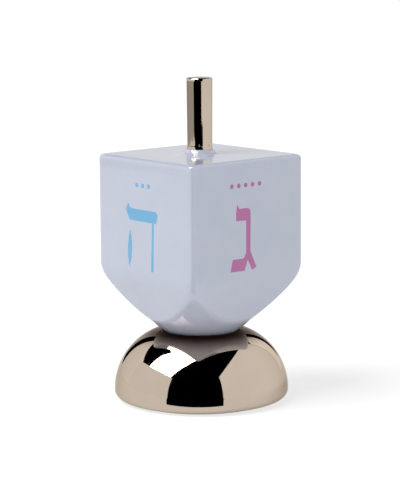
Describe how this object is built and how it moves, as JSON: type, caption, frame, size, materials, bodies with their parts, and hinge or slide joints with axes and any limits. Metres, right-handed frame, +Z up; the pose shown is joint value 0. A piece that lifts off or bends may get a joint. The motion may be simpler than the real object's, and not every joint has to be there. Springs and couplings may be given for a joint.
{
  "type": "dreidel",
  "caption": "Square porcelain spinning top with a rounded nose and a polished metal stem, resting in a polished domed stand from which it lifts to be spun.",
  "frame": {"origin": "on the spin axis, at the underside of the felt ring on which the stand rests", "axes": "+Z up along the spin axis, +X and +Y square to the dreidel's upright faces"},
  "size_m": [0.0724, 0.0724, 0.1335],
  "materials": {
    "porcelain": "glossy cool white glaze",
    "polished_nickel": "warm mirror polish",
    "dark_rubber": "satin",
    "felt": "matt pressed felt"
  },
  "bodies": {
    "stand": {"stand_shell": "polished_nickel", "foot_pad": "felt"},
    "seat": {"seat_ring": "dark_rubber"},
    "dreidel": {"body_shell": "porcelain", "stem": "polished_nickel"}
  },
  "joints": [
    {"name": "spin", "type": "hinge", "parent": "stand", "child": "seat", "pos_m": [0, 0, 0.0275], "axis": [0, 0, 1], "continuous": true},
    {"name": "lift_off", "type": "slide", "parent": "seat", "child": "dreidel", "axis": [0, 0, 1], "range_m": [0, 0.06]}
  ]
}
